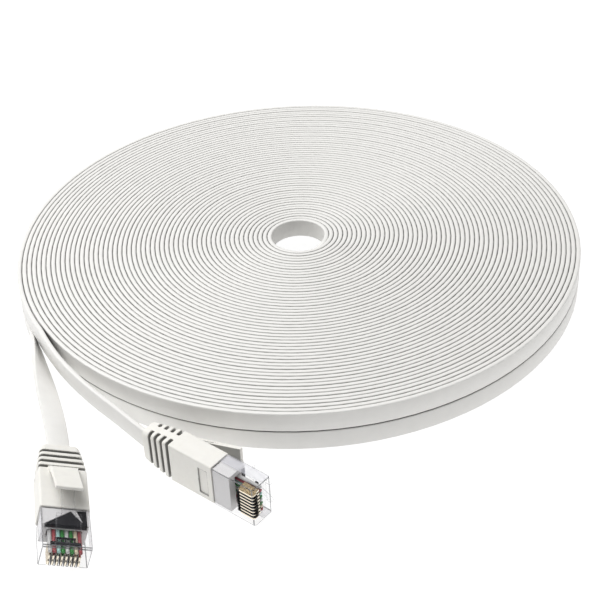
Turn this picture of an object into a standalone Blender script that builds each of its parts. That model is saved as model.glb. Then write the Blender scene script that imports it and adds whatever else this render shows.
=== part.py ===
"""Flat ethernet patch cable, wound as a two-layer pancake, with a booted modular plug on each end.

The coil stands on z = 0. Each plug is modelled in its own frame, held by an empty at the middle of
the boot's front edge: +X runs out of the plug's nose, +Z from the contact side to the latch side.
"""

import math

import bmesh
import bpy
from mathutils import Vector

MM = 0.001
GAP = 0.3 * MM

# Cable and coil
CABLE_WIDTH = 5.8 * MM
CABLE_THICKNESS = 1.35 * MM
TURN_PITCH = 1.407 * MM
COIL_CENTRE = (0.352 * MM, 19.611 * MM)
COIL_RADIUS = 83.0 * MM
TAIL_RADIUS = COIL_RADIUS + CABLE_THICKNESS / 2 + 0.2 * MM
LOWER_MIDDLE = CABLE_WIDTH / 2
UPPER_MIDDLE = CABLE_WIDTH * 1.5 + GAP
UPPER_HOLE_RADIUS = 8.42 * MM
LOWER_HOLE_RADIUS = 18.0 * MM
TAIL_A_LEAVES = -163.0
TAIL_B_LEAVES = -150.0
OUTLINE_STEPS = 84
HOLE_STEPS = 32

# Centre fold, as angles about the coil and radii of the cable's middle
FOLD_INNER_RADIUS = 7.45 * MM
FOLD_OUTER_RADIUS = 17.0 * MM
FOLD_START = -10.0
FOLD_TURN = -170.0
FOLD_END = -124.0

# Plug frames: the boot's front edge from the coil's centre, then heading, nose lift and roll in degrees
PLUG_PLACES = {
    "a": ((-60.7 * MM, -109.3 * MM, 2.09 * MM), -80.6, 1.0, 19.3),
    "b": ((-24.1 * MM, -101.5 * MM, 6.0 * MM), -40.0, 0.0, 90.0),
}

# Boot
BOOT_LENGTH = 23.9 * MM
BOOT_WIDTH = 12.0 * MM
BOOT_THICKNESS = 6.7 * MM
BOOT_REAR_WIDTH = 9.6 * MM
BOOT_REAR_THICKNESS = 5.0 * MM
BOOT_TAPER_START = -14.0 * MM
SOCKET = (-8.5 * MM, 0.0, 10.8 * MM, 0.6 * MM, 6.1 * MM)
CABLE_CHANNEL_WIDTH = 6.5 * MM
CABLE_CHANNEL_HEIGHT = 2.0 * MM
CABLE_LEVEL = 3.3 * MM
GROOVE_PLACES = (-14.6 * MM, -16.75 * MM, -18.9 * MM, -21.05 * MM)
GROOVE_WIDTH = 0.9 * MM
GROOVE_DEPTH = 1.3 * MM
SPINE_WIDTH = 1.9 * MM

# Snagless tongue, as an outline in the plane of x and z, and its hinge
TONGUE_ROOT_WIDTH = 7.4 * MM
TONGUE_WIDTH = 6.4 * MM
TONGUE_HINGE = (-13.8 * MM, 7.4 * MM)

# Modular plug
PLUG_WIDTH = 11.68 * MM
PLUG_HEIGHT = 6.5 * MM
PLUG_FRONT = 13.3 * MM
SPIGOT_REAR = -8.2 * MM
SPIGOT_WIDTH = 10.2 * MM
SPIGOT_BOTTOM = 0.9 * MM
SPIGOT_TOP = 5.8 * MM
CONTACT_PITCH = 1.02 * MM
CONTACT_COUNT = 8
CONTACT_THICKNESS = 0.32 * MM
CONTACT_SLOT = 0.5 * MM
WIRE_DIAMETER = 0.92 * MM
WIRE_LEVEL = 3.9 * MM
LATCH_HINGE = (12.6 * MM, 7.35 * MM)
LATCH_WIDTH = 6.0 * MM
LATCH_ARM_WIDTH = 3.3 * MM
SPIGOT_ROOM = ((SPIGOT_REAR - 1.0 * MM, -4.35 * MM, 1.3 * MM), (1.0 * MM, 4.35 * MM, 5.4 * MM))
SLEEVE_ROOM = ((0.7 * MM, -5.35 * MM, 0.55 * MM), (5.55 * MM, 5.35 * MM, 5.95 * MM))
WIRE_ROOM = ((5.45 * MM, -4.3 * MM, 3.1 * MM), (12.6 * MM, 4.3 * MM, 5.2 * MM))
SLEEVE_BORE = ((0.0, -4.2 * MM, 2.4 * MM), (7.0 * MM, 4.2 * MM, 4.5 * MM))
SLEEVE_CLEARANCE = 0.15 * MM
WEDGE_POCKET_FLOOR = 4.9 * MM
WEDGE_BOTTOM = 5.1 * MM
WEDGE_TOP = 5.75 * MM
COMB_BOTTOM = 4.55 * MM
COMB_TOP = 5.0 * MM

# Strain wedge from above: a gable that points back, with a straight key along one side
WEDGE_OUTLINE = (
    (5.4 * MM, -4.75 * MM), (5.4 * MM, 4.75 * MM), (1.1 * MM, 4.75 * MM),
    (1.1 * MM, 2.9 * MM), (1.0 * MM, 1.4 * MM),
)

WHITE_PVC = (0.88, 0.88, 0.86)
BOOT_WHITE = (0.86, 0.85, 0.82)
WIRE_COLOURS = (
    ("grey", (0.72, 0.72, 0.70)),
    ("red_brown", (0.42, 0.09, 0.09)),
    ("teal", (0.50, 0.78, 0.72)),
    ("green", (0.04, 0.32, 0.06)),
    ("grey", (0.72, 0.72, 0.70)),
    ("green", (0.04, 0.32, 0.06)),
    ("beige", (0.80, 0.70, 0.52)),
    ("red_brown", (0.42, 0.09, 0.09)),
)


def clear_scene():
    for thing in list(bpy.data.objects):
        bpy.data.objects.remove(thing, do_unlink=True)


def new_collection(name):
    collection = bpy.data.collections.new(name)
    bpy.context.scene.collection.children.link(collection)
    return collection


def principled(name, colour, roughness, metallic=0.0, alpha=1.0):
    """The named material, made on its first use."""
    if name in bpy.data.materials:
        return bpy.data.materials[name]
    made = bpy.data.materials.new(name)
    made.use_nodes = True
    shader = made.node_tree.nodes["Principled BSDF"]
    shader.inputs["Base Color"].default_value = (*colour, 1.0)
    shader.inputs["Roughness"].default_value = roughness
    shader.inputs["Metallic"].default_value = metallic
    shader.inputs["Alpha"].default_value = alpha
    return made


def add_object(name, data, material, parent, collection):
    made = bpy.data.objects.new(name, data)
    if material:
        data.materials.append(material)
    made.parent = parent
    collection.objects.link(made)
    return made


def add_helper(name, data, parent):
    """A cutter or a profile, which the finished part leaves out."""
    made = add_object(name, data, None, parent, cutters)
    made.hide_render = True
    made.display_type = "WIRE"
    return made


def box_mesh(name, boxes):
    """A mesh of boxes, each given as its lowest and its highest corner."""
    mesh = bpy.data.meshes.new(name)
    shape = bmesh.new()
    for low, high in boxes:
        corners = bmesh.ops.create_cube(shape, size=1.0)["verts"]
        size = [b - a for a, b in zip(low, high)]
        middle = Vector([(a + b) / 2 for a, b in zip(low, high)])
        bmesh.ops.scale(shape, vec=size, verts=corners)
        bmesh.ops.translate(shape, vec=middle, verts=corners)
    shape.to_mesh(mesh)
    shape.free()
    return mesh


def outline_mesh(name, outlines, thickness, upright=False):
    """A flat plate of this thickness about its middle plane, from a closed outline and any holes.

    An upright plate's outline lies in the plane of x and z; otherwise it lies in x and y.
    """
    curve = bpy.data.curves.new(name, "CURVE")
    curve.dimensions = "2D"
    curve.fill_mode = "BOTH"
    curve.extrude = thickness / 2
    for outline in outlines:
        spline = curve.splines.new("POLY")
        spline.points.add(len(outline) - 1)
        spline.use_cyclic_u = True
        for point, (x, y) in zip(spline.points, outline):
            point.co = (x, y, 0.0, 1.0)
    holder = bpy.data.objects.new(name, curve)
    bpy.context.scene.collection.objects.link(holder)
    graph = bpy.context.evaluated_depsgraph_get()
    mesh = bpy.data.meshes.new_from_object(holder.evaluated_get(graph))
    bpy.data.objects.remove(holder, do_unlink=True)
    bpy.data.curves.remove(curve)
    mesh.name = name
    shape = bmesh.new()
    shape.from_mesh(mesh)
    bmesh.ops.remove_doubles(shape, verts=shape.verts, dist=1e-7)
    if upright:
        for vertex in shape.verts:
            x, y, z = vertex.co
            vertex.co = (x, -z, y)
    bmesh.ops.recalc_face_normals(shape, faces=shape.faces)
    shape.to_mesh(mesh)
    shape.free()
    return mesh


def loft_mesh(name, sections):
    """A closed body through rings of points, all with the same number of points."""
    mesh = bpy.data.meshes.new(name)
    shape = bmesh.new()
    rings = [[shape.verts.new(point) for point in section] for section in sections]
    for first, second in zip(rings, rings[1:]):
        for k in range(len(first)):
            after = (k + 1) % len(first)
            shape.faces.new((first[k], first[after], second[after], second[k]))
    shape.faces.new(list(reversed(rings[0])))
    shape.faces.new(rings[-1])
    bmesh.ops.recalc_face_normals(shape, faces=shape.faces)
    shape.to_mesh(mesh)
    shape.free()
    return mesh


def rounded_rectangle(x, width, low, high, radius, corner_steps=3):
    """A ring of points at this x, width wide in y and from low to high in z, with round corners."""
    ring = []
    middles = (
        (width / 2 - radius, high - radius, 0.0),
        (radius - width / 2, high - radius, 90.0),
        (radius - width / 2, low + radius, 180.0),
        (width / 2 - radius, low + radius, 270.0),
    )
    for y, z, start in middles:
        for step in range(corner_steps + 1):
            angle = math.radians(start + 90.0 * step / corner_steps)
            ring.append((x, y + radius * math.cos(angle), z + radius * math.sin(angle)))
    return ring


def bevelled(thing, width, segments=2):
    bevel = thing.modifiers.new("round_edges", "BEVEL")
    bevel.width = width
    bevel.segments = segments
    bevel.limit_method = "ANGLE"
    bevel.angle_limit = math.radians(40.0)


def boolean(thing, helper, operation="DIFFERENCE"):
    cut = thing.modifiers.new(helper.name, "BOOLEAN")
    cut.object = helper
    cut.operation = operation
    cut.solver = "EXACT"


def polar(radius, degrees):
    angle = math.radians(degrees)
    return radius * math.cos(angle), radius * math.sin(angle)


def smooth_route(points, spacing):
    """A Catmull-Rom curve through rows of numbers, read about every spacing along it."""
    rows = [list(points[0])] + [list(row) for row in points] + [list(points[-1])]
    route = []
    for k in range(1, len(rows) - 2):
        before, start, end, after = rows[k - 1:k + 3]
        count = max(1, round(math.dist(start[:3], end[:3]) / spacing))
        for step in range(count):
            t = step / count
            route.append([
                0.5 * (2 * b + (c - a) * t + (2 * a - 5 * b + 4 * c - d) * t * t
                       + (3 * b - a - 3 * c + d) * t ** 3)
                for a, b, c, d in zip(before, start, end, after)
            ])
    route.append(list(points[-1]))
    return route


def ribbon(name, route, material, parent):
    """A flat cable along rows of x, y, z and lean, where a lean of 90 degrees stands the cable on edge."""
    curve = bpy.data.curves.new(name, "CURVE")
    curve.dimensions = "3D"
    curve.twist_mode = "Z_UP"
    curve.bevel_mode = "OBJECT"
    curve.bevel_object = cable_section
    curve.use_fill_caps = True
    spline = curve.splines.new("POLY")
    spline.points.add(len(route) - 1)
    for point, (x, y, z, lean) in zip(spline.points, route):
        point.co = (x, y, z, 1.0)
        point.tilt = math.radians(lean - 90.0)
    return add_object(name, curve, material, parent, cable_parts)


# Cable


def make_cable_section():
    """The flat cable's section, half its width up and down, for ribbons to follow."""
    curve = bpy.data.curves.new("cable_section", "CURVE")
    curve.dimensions = "2D"
    spline = curve.splines.new("POLY")
    spline.points.add(3)
    spline.use_cyclic_u = True
    half_thickness, half_width = CABLE_THICKNESS / 2, CABLE_WIDTH / 2
    corners = (
        (-half_thickness, half_width),
        (half_thickness, half_width),
        (half_thickness, -half_width),
        (-half_thickness, -half_width),
    )
    for point, (x, y) in zip(spline.points, corners):
        point.co = (x, y, 0.0, 1.0)
    return add_helper("cable_section", curve, None)


def coil_layer(name, level, hole_radius, leaves):
    """One layer of the wound cable: its outer edge is one turn that ends where the tail leaves."""
    outer = []
    for step in range(OUTLINE_STEPS + 1):
        turned = step / OUTLINE_STEPS
        outer.append(polar(COIL_RADIUS + TURN_PITCH * turned, leaves + 360.0 * turned))
    hole = [polar(hole_radius, 360.0 * step / HOLE_STEPS) for step in range(HOLE_STEPS)]
    mesh = outline_mesh(name, (outer, hole), CABLE_WIDTH)
    layer = add_object(name, mesh, jacket, coil_frame, cable_parts)
    layer.location.z = level
    return layer


def centre_fold():
    """Down round the inside of the hole from the upper layer's inner end, then a hairpin to the lower's."""
    route = []
    descent_steps = 16
    for step in range(descent_steps):
        part = step / descent_steps
        x, y = polar(FOLD_INNER_RADIUS, FOLD_START + (FOLD_TURN - FOLD_START) * part)
        eased = part * part * (3.0 - 2.0 * part)
        route.append((x, y, UPPER_MIDDLE + (LOWER_MIDDLE - UPPER_MIDDLE) * eased, 90.0))
    bend_radius = (FOLD_OUTER_RADIUS - FOLD_INNER_RADIUS) / 2
    middle = polar(FOLD_INNER_RADIUS + bend_radius, FOLD_TURN)
    bend_steps = 10
    for step in range(bend_steps):
        x, y = polar(bend_radius, FOLD_TURN + 180.0 - 180.0 * step / bend_steps)
        route.append((middle[0] + x, middle[1] + y, LOWER_MIDDLE, 90.0))
    last_steps = 6
    for step in range(last_steps + 1):
        x, y = polar(FOLD_OUTER_RADIUS, FOLD_TURN + (FOLD_END - FOLD_TURN) * step / last_steps)
        route.append((x, y, LOWER_MIDDLE, 90.0))
    return ribbon("coil_centre_fold", route, jacket, coil_frame)


def tail_a():
    """From the lower layer's outer turn, rising and turning flat on its way into boot A."""
    lower = LOWER_MIDDLE + 0.05 * MM
    leaves = [
        (*polar(TAIL_RADIUS, TAIL_A_LEAVES + 0.3), lower, 90.0),
        (*polar(TAIL_RADIUS + 0.1 * MM, -159.0), lower, 93.0),
        (*polar(TAIL_RADIUS + 0.6 * MM, -154.0), 3.1 * MM, 103.0),
    ]
    by_hand = (
        (-73.9, -44.6, 3.6, 118.0),
        (-71.6, -53.5, 4.4, 137.0),
        (-69.1, -62.5, 4.9, 154.0),
        (-66.4, -72.0, 5.1, 163.0),
        (-64.26, -81.15, 4.72, 160.7),
        (-63.44, -86.08, 4.79, 160.7),
        (-59.24, -111.49, 5.23, 160.7),
    )
    route = leaves + [(x * MM, y * MM, z * MM, lean) for x, y, z, lean in by_hand]
    return ribbon("tail_a", smooth_route(route, 4.0 * MM), jacket, coil_frame)


def tail_b():
    """From the upper layer's outer turn, on edge all the way down into boot B."""
    leaves = [(*polar(TAIL_RADIUS, TAIL_B_LEAVES + 0.3), UPPER_MIDDLE, 90.0)]
    by_hand = (
        (-69.6, -48.4, 9.0),
        (-65.9, -54.9, 8.8),
        (-61.2, -61.6, 8.5),
        (-55.6, -68.2, 7.9),
        (-49.4, -74.6, 7.2),
        (-42.9, -81.43, 6.3),
        (-39.83, -84.0, 6.0),
        (-20.08, -100.58, 6.0),
    )
    route = leaves + [(x * MM, y * MM, z * MM, 90.0) for x, y, z in by_hand]
    return ribbon("tail_b", smooth_route(route, 4.0 * MM), jacket, coil_frame)


# Boot


def boot_sections():
    """Rings from the straight front to the smaller, rounded rear end."""
    rings = []
    straight_radius = 0.5 * MM
    for x in (0.0, BOOT_TAPER_START):
        rings.append(rounded_rectangle(x, BOOT_WIDTH, 0.0, BOOT_THICKNESS, straight_radius))
    rear_steps = 6
    run = BOOT_LENGTH + BOOT_TAPER_START
    for step in range(1, rear_steps + 1):
        part = step / rear_steps
        narrowing = 0.55 * part + 0.45 * (1.0 - math.sqrt(1.0 - (0.98 * part) ** 2))
        width = BOOT_WIDTH - (BOOT_WIDTH - BOOT_REAR_WIDTH) * narrowing
        thickness = BOOT_THICKNESS - (BOOT_THICKNESS - BOOT_REAR_THICKNESS) * narrowing
        low = (BOOT_THICKNESS - thickness) / 2
        radius = straight_radius + 1.0 * MM * part
        rings.append(rounded_rectangle(BOOT_TAPER_START - run * part, width, low, low + thickness, radius))
    return rings


def groove_outline(rank):
    """Half a groove's cutter in y and z: across one broad face and down both narrow sides to the spine."""
    reach = 8.0 * MM
    depth = GROOVE_DEPTH + 0.15 * MM * rank
    side = BOOT_WIDTH / 2 - GROOVE_DEPTH - 0.3 * MM * rank
    spine = (BOOT_THICKNESS - SPINE_WIDTH) / 2
    return (
        (-reach, -reach), (reach, -reach), (reach, spine), (side, spine),
        (side, depth), (-side, depth), (-side, spine), (-reach, spine),
    )


def cut_grooves(boot, tag, frame):
    """Four grooves, each cut from both broad faces."""
    for rank, x in enumerate(GROOVE_PLACES):
        outline = groove_outline(rank)
        other_side = [(y, BOOT_THICKNESS - z) for y, z in reversed(outline)]
        for face, points in (("contact_side", outline), ("latch_side", other_side)):
            mesh = outline_mesh("groove", (points,), GROOVE_WIDTH)
            helper = add_helper(f"groove_{tag}_{rank}_{face}", mesh, frame)
            helper.location.x = x
            helper.rotation_euler = (math.radians(90.0), 0.0, math.radians(90.0))
            boolean(boot, helper)


def make_boot(tag, frame):
    boot = add_object("boot_" + tag, loft_mesh("boot_" + tag, boot_sections()), boot_vinyl, frame, parts)
    x_low, x_high, width, low, high = SOCKET
    over = 1.0 * MM
    socket = [((x_low, -width / 2, low), (x_high + over, width / 2, high))]
    half = CABLE_CHANNEL_HEIGHT / 2
    channel = [(
        (-BOOT_LENGTH - over, -CABLE_CHANNEL_WIDTH / 2, CABLE_LEVEL - half),
        (x_low + over, CABLE_CHANNEL_WIDTH / 2, CABLE_LEVEL + half),
    )]
    recess = [((-4.35 * MM, -3.75 * MM, -over), (-1.6 * MM, 4.2 * MM, 0.35 * MM))]
    for label, boxes in (("socket", socket), ("channel", channel), ("recess", recess)):
        helper = add_helper(f"{label}_{tag}", box_mesh(label, boxes), frame)
        boolean(boot, helper)
    cut_grooves(boot, tag, frame)


def make_tongue(tag, frame):
    """The snagless tongue: a thick root behind, and a flap that rises forward over the latch."""
    hinge_x, hinge_z = TONGUE_HINGE
    outline = (
        (-14.4, 7.05), (-13.4, 7.0), (-11.2, 7.7), (-0.7, 11.5),
        (-0.5, 12.6), (-11.5, 8.9), (-13.2, 8.0), (-14.3, 7.25),
    )
    points = [(x * MM - hinge_x, z * MM - hinge_z) for x, z in outline]
    mesh = outline_mesh("boot_tab_" + tag, (points,), TONGUE_ROOT_WIDTH, upright=True)
    for vertex in mesh.vertices:
        if vertex.co.x + hinge_x > -12.0 * MM:
            vertex.co.y *= TONGUE_WIDTH / TONGUE_ROOT_WIDTH
    tongue = add_object("boot_tab_" + tag, mesh, boot_vinyl, frame, parts)
    tongue.location = (hinge_x, 0.0, hinge_z)
    return tongue


# Modular plug


def contact_y(index):
    """The y of the contact or conductor with this index, the first at the plug's left."""
    return (index - (CONTACT_COUNT - 1) / 2) * CONTACT_PITCH


def make_plug_body(tag, frame):
    half = PLUG_WIDTH / 2
    block = box_mesh("plug_body_" + tag, [((GAP, -half, 0.0), (PLUG_FRONT, half, PLUG_HEIGHT))])
    body = add_object("plug_body_" + tag, block, clear_plastic, frame, parts)
    bevelled(body, 0.35 * MM, 1)
    spigot = [(
        (SPIGOT_REAR, -SPIGOT_WIDTH / 2, SPIGOT_BOTTOM),
        (GAP + 0.5 * MM, SPIGOT_WIDTH / 2, SPIGOT_TOP),
    )]
    boolean(body, add_helper("spigot_" + tag, box_mesh("spigot", spigot), frame), "UNION")
    slots = []
    for index in range(CONTACT_COUNT):
        y = contact_y(index)
        slots.append((
            (7.9 * MM, y - CONTACT_SLOT / 2, -1.0 * MM),
            (PLUG_FRONT + 1.0 * MM, y + CONTACT_SLOT / 2, 3.2 * MM),
        ))
    rooms = (("spigot_room", SPIGOT_ROOM), ("sleeve_room", SLEEVE_ROOM), ("wire_room", WIRE_ROOM))
    for label, room in rooms:
        boolean(body, add_helper(f"{label}_{tag}", box_mesh(label, [room]), frame))
    boolean(body, add_helper(f"slots_{tag}", box_mesh("slots", slots), frame))
    return body


def make_latch(tag, frame):
    """The sprung latch: a wide part that rises from the nose, then a narrower arm back over the boot."""
    hinge_x, hinge_z = LATCH_HINGE
    outline = (
        (12.95, 6.85), (12.95, 7.6), (12.6, 7.95), (4.6, 10.05), (-2.2, 10.35),
        (-2.2, 9.35), (4.4, 9.0), (12.1, 6.85),
    )
    points = [(x * MM - hinge_x, z * MM - hinge_z) for x, z in outline]
    mesh = outline_mesh("latch_" + tag, (points,), LATCH_WIDTH, upright=True)
    latch = add_object("latch_" + tag, mesh, clear_plastic, frame, parts)
    latch.location = (hinge_x, 0.0, hinge_z)
    far = 3.0 * MM
    for side in (-1, 1):
        inner, outer = side * LATCH_ARM_WIDTH / 2, side * (LATCH_WIDTH / 2 + far)
        box = ((-far, min(inner, outer), 0.0), (5.5 * MM, max(inner, outer), 15.0 * MM))
        boolean(latch, add_helper(f"latch_side_{tag}_{side}", box_mesh("latch_side", [box]), frame))
    return latch


def make_contact(tag, index, frame):
    """One gold blade, rounded where the socket's spring rides over it."""
    outline = [(8.2, 3.0), (8.2, 1.6), (8.7, 0.3), (12.1, 0.3)]
    for step in range(1, 4):
        x, z = polar(1.0, -90.0 + 30.0 * step)
        outline.append((12.1 + x, 1.3 + z))
    outline.append((13.1, 3.0))
    points = [(x * MM, z * MM) for x, z in outline]
    name = f"contact_{tag}_{index + 1}"
    blade = add_object(
        name, outline_mesh(name, (points,), CONTACT_THICKNESS, upright=True), gold, frame, parts
    )
    blade.location.y = contact_y(index)
    return blade


def make_wire(tag, index, frame):
    """One conductor in its coloured insulation, from the jacket's end to the nose."""
    name = f"wire_{tag}_{index + 1}"
    colour_name, colour = WIRE_COLOURS[index]
    curve = bpy.data.curves.new(name, "CURVE")
    curve.dimensions = "3D"
    curve.bevel_depth = WIRE_DIAMETER / 2
    curve.bevel_resolution = 1
    curve.use_fill_caps = True
    spline = curve.splines.new("POLY")
    spline.points.add(1)
    spline.points[0].co = (2.8 * MM, contact_y(index), WIRE_LEVEL, 1.0)
    spline.points[1].co = (12.4 * MM, contact_y(index), WIRE_LEVEL, 1.0)
    insulation = principled("insulation_" + colour_name, colour, 0.45)
    return add_object(name, curve, insulation, frame, parts)


def make_load_bar(tag, frame):
    """A dark comb across the conductors: a wide bar, a narrow bar and the ribs that join them."""
    name = "load_bar_" + tag
    wide_bar = ((10.0 * MM, -3.6 * MM, COMB_BOTTOM), (10.8 * MM, 3.6 * MM, COMB_TOP))
    narrow_bar = ((8.5 * MM, -2.4 * MM, COMB_BOTTOM), (8.85 * MM, 2.4 * MM, COMB_TOP))
    rib_half = 0.1 * MM
    comb = add_object(name, box_mesh(name, [wide_bar]), dark_plastic, frame, parts)
    joined = [narrow_bar]
    for rank in range(-2, 3):
        middle = rank * CONTACT_PITCH
        joined.append(((8.6 * MM, middle - rib_half, COMB_BOTTOM), (10.3 * MM, middle + rib_half, COMB_TOP)))
    for rank, box in enumerate(joined):
        boolean(comb, add_helper(f"comb_{tag}_{rank}", box_mesh("comb", [box]), frame), "UNION")


def grown(outline, distance):
    """The counter-clockwise outline, moved out by this distance on every side."""
    corners = [Vector(corner) for corner in outline]
    count = len(corners)
    outward = []
    for k in range(count):
        side = (corners[(k + 1) % count] - corners[k]).normalized()
        outward.append(Vector((side.y, -side.x)))
    moved = []
    for k, corner in enumerate(corners):
        first, second = outward[k - 1], outward[k]
        moved.append(tuple(corner + (first + second) * distance / (1.0 + first.dot(second))))
    return moved


def make_sleeve(tag, frame):
    """The pale sleeve that fills the plug's rear round the cable's jacket, open where the wedge sits."""
    name = "cable_sleeve_" + tag
    low = [value + SLEEVE_CLEARANCE for value in SLEEVE_ROOM[0]]
    high = [value - SLEEVE_CLEARANCE for value in SLEEVE_ROOM[1]]
    sleeve = add_object(name, box_mesh(name, [(low, high)]), pale_plastic, frame, parts)
    boolean(sleeve, add_helper(f"sleeve_bore_{tag}", box_mesh("sleeve_bore", [SLEEVE_BORE]), frame))
    depth = 3.0 * MM
    outline = grown(WEDGE_OUTLINE, SLEEVE_CLEARANCE)
    pocket = add_helper(f"wedge_pocket_{tag}", outline_mesh("wedge_pocket", (outline,), depth), frame)
    pocket.location.z = WEDGE_POCKET_FLOOR + depth / 2
    boolean(sleeve, pocket)


def make_strain_wedge(tag, frame):
    """The dark wedge that is pressed into the sleeve over the cable's jacket."""
    name = "strain_wedge_" + tag
    mesh = outline_mesh(name, (WEDGE_OUTLINE,), WEDGE_TOP - WEDGE_BOTTOM)
    wedge = add_object(name, mesh, dark_plastic, frame, parts)
    wedge.location.z = (WEDGE_BOTTOM + WEDGE_TOP) / 2


def make_plug(tag):
    place, heading, lift, roll = PLUG_PLACES[tag]
    frame = add_object(f"plug_{tag}_frame", None, None, coil_frame, parts)
    frame.location = place
    frame.rotation_euler = (math.radians(-roll), math.radians(-lift), math.radians(heading))
    make_boot(tag, frame)
    make_tongue(tag, frame)
    make_plug_body(tag, frame)
    make_latch(tag, frame)
    make_sleeve(tag, frame)
    make_strain_wedge(tag, frame)
    make_load_bar(tag, frame)
    for index in range(CONTACT_COUNT):
        make_contact(tag, index, frame)
        make_wire(tag, index, frame)


clear_scene()
cable_parts = new_collection("flat_patch_cable")
parts = new_collection("patch_cable_plugs")
cutters = new_collection("cutters")

jacket = principled("cable_jacket", WHITE_PVC, 0.42)
boot_vinyl = principled("boot_vinyl", BOOT_WHITE, 0.5)
clear_plastic = principled("clear_polycarbonate", (0.92, 0.93, 0.94), 0.06, alpha=0.35)
gold = principled("gold_plating", (0.83, 0.62, 0.28), 0.22, metallic=1.0)
pale_plastic = principled("pale_plastic", (0.85, 0.85, 0.87), 0.4)
dark_plastic = principled("dark_plastic", (0.02, 0.02, 0.022), 0.35)

coil_frame = add_object("coil_frame", None, None, None, cable_parts)
coil_frame.location = (*COIL_CENTRE, 0.0)
cable_section = make_cable_section()
coil_layer("coil_upper_layer", UPPER_MIDDLE, UPPER_HOLE_RADIUS, TAIL_B_LEAVES)
coil_layer("coil_lower_layer", LOWER_MIDDLE, LOWER_HOLE_RADIUS, TAIL_A_LEAVES)
centre_fold()
tail_a()
tail_b()
for plug_tag in PLUG_PLACES:
    make_plug(plug_tag)
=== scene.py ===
"""Looks of the flat ethernet patch cable: two stacked pancake windings, two booted modular plugs.

Everything is in metres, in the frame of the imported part. Each plug is built in its own axes, where +X
runs out of the nose, +Z from the contact side to the latch side, and the origin is at the middle of the
boot's front edge.
"""

import math

import bmesh
import bpy
import numpy as np
from mathutils import Euler, Matrix, Vector
from mathutils.bvhtree import BVHTree


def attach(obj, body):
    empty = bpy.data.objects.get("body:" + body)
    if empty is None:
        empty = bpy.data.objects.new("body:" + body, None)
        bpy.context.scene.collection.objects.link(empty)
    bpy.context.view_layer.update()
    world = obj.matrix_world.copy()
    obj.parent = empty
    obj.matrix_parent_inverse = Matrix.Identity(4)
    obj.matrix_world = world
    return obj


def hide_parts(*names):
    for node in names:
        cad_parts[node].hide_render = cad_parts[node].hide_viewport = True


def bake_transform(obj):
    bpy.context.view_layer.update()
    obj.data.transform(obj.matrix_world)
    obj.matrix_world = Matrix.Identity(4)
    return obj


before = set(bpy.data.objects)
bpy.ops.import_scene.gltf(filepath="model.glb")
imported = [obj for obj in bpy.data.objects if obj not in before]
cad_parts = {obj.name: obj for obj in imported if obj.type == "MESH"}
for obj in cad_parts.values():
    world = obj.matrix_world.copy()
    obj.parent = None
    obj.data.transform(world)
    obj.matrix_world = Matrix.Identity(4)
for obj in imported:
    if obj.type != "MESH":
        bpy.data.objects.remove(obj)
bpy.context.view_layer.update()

MM = 0.001

# The coil's centre, then each plug's place from it in mm, and its heading, lift and roll in degrees
COIL_CENTRE = Vector((0.352, 19.611, 0.0)) * MM
PLUG_PLACES = {
    "a": ((-60.7, -109.3, 2.09), -80.6, 1.0, 19.3),
    "b": ((-24.1, -101.5, 6.0), -40.0, 0.0, 90.0),
}

# Cable
CABLE_WIDTH = 5.8 * MM
CABLE_THICKNESS = 1.35 * MM
EDGE_RADIUS = 0.34 * MM
EDGE_STEPS = 2
ROUTE_STEP = 2.0 * MM

# Coil. Radii go to the middle of the cable, which stands on edge there: a lean of 90 degrees.
ON_EDGE = 90.0
TURN_PITCH = 1.407 * MM
OUTER_TURN = 83.7 * MM
LOWER_MIDDLE = 2.94 * MM
UPPER_MIDDLE = 8.9 * MM
LOWER_TURNS = 46.586
UPPER_TURNS = 53.6111
LOWER_HOLE = 18.2 * MM
UPPER_HOLE = 8.3 * MM
CHORD_SAG = 0.04 * MM
RIPPLE = 0.02 * MM
RIPPLE_RATES = (1.37, 0.61)

# Where each tail leaves its layer, and how the last turn swells on the way there
TAIL_A_LEAVES = -163.0
TAIL_B_LEAVES = -150.0
TAIL_SWELL = 0.175 * MM
SWELL_ANGLE = 40.0

# Fold inside the hole: it turns back on the lower level, then climbs to where the upper layer starts
FOLD_INNER_RADIUS = 7.64 * MM
FOLD_OUTER_RADIUS = 17.0 * MM
FOLD_START = -10.0
FOLD_TURN = -170.0
FOLD_SETTLING = 1.3
FOLD_APPROACH_STEPS = 24
FOLD_BEND_STEPS = 16
FOLD_CLIMB_STEPS = 26

# Tail A's first rows: the distance out from the swollen turn, the angle, the height and the lean
TAIL_A_LIFT = (
    (0.1 * MM, -159.0, LOWER_MIDDLE, 93.0),
    (0.6 * MM, -154.0, 3.1 * MM, 103.0),
)

# Tail routes from the coil's centre, in mm, then the cable's lean in degrees
TAIL_A_ROUTE = (
    (-73.9, -44.6, 3.6, 118.0),
    (-71.6, -53.5, 4.4, 137.0),
    (-69.1, -62.5, 4.9, 154.0),
    (-66.4, -72.0, 5.1, 163.0),
    (-64.26, -81.15, 4.72, 160.7),
    (-63.44, -86.08, 4.79, 160.7),
    (-59.24, -111.49, 5.23, 160.7),
)
TAIL_B_ROUTE = (
    (-69.6, -48.4, 9.0, 90.0),
    (-65.9, -54.9, 8.8, 90.0),
    (-61.2, -61.6, 8.5, 90.0),
    (-55.6, -68.2, 7.9, 90.0),
    (-49.4, -74.6, 7.2, 90.0),
    (-42.9, -81.43, 6.3, 90.0),
    (-39.83, -84.0, 6.0, 90.0),
    (-20.08, -100.58, 6.0, 90.0),
)

# Painted shade in the jacket's colour, from 0 to 1: at the corners beside the seams between turns, on
# the hole's wall and at the corners beside the line between the layers. The painted shade in the gap
# behind a tail fades over an angle in degrees.
PAINTED_SEAM_SHADE_COLOUR = (0.05, 0.05, 0.045)
PAINTED_SEAM_CORNER_SHADE = 0.24
PAINTED_HOLE_SHADE = 0.17
PAINTED_LAYER_CORNER_SHADE = 0.14
PAINTED_GAP_SHADE_ANGLE = 9.0

# Shares of half the cable's thickness: beyond these a point is on a broad face, or at a corner's middle
BROAD_FACE = 0.99
CORNER_MIDDLE = 0.8

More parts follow.
